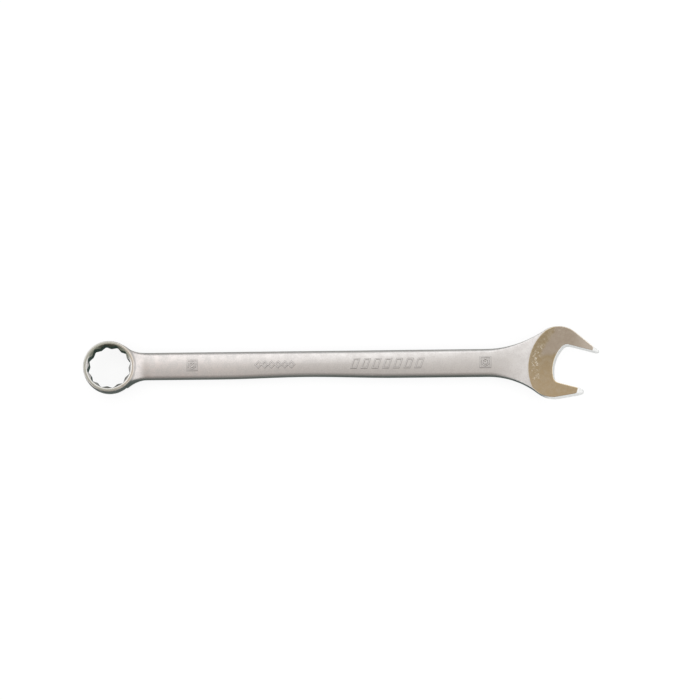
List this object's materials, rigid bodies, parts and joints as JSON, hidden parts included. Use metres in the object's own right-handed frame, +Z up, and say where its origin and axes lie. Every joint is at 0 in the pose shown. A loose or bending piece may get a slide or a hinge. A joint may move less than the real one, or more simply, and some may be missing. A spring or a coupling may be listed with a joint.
{
  "type": "combination wrench",
  "caption": "Forged combination wrench with an offset twelve-point box end, an angled open end and a long crowned handle, chrome plated.",
  "frame": {"origin": "middle of the bounding box in plan, at the level of the underside that the wrench rests on", "axes": "+X along the handle from the box end to the open end, +Y across the handle towards the longer prong, +Z up out of the face that the box end is tipped towards"},
  "size_m": [0.43, 0.0588, 0.0224],
  "materials": {
    "chrome": "satin chrome plate over forged steel, ground bright on the open end's faces"
  },
  "bodies": {
    "root": {"wrench": "chrome"}
  },
  "joints": []
}
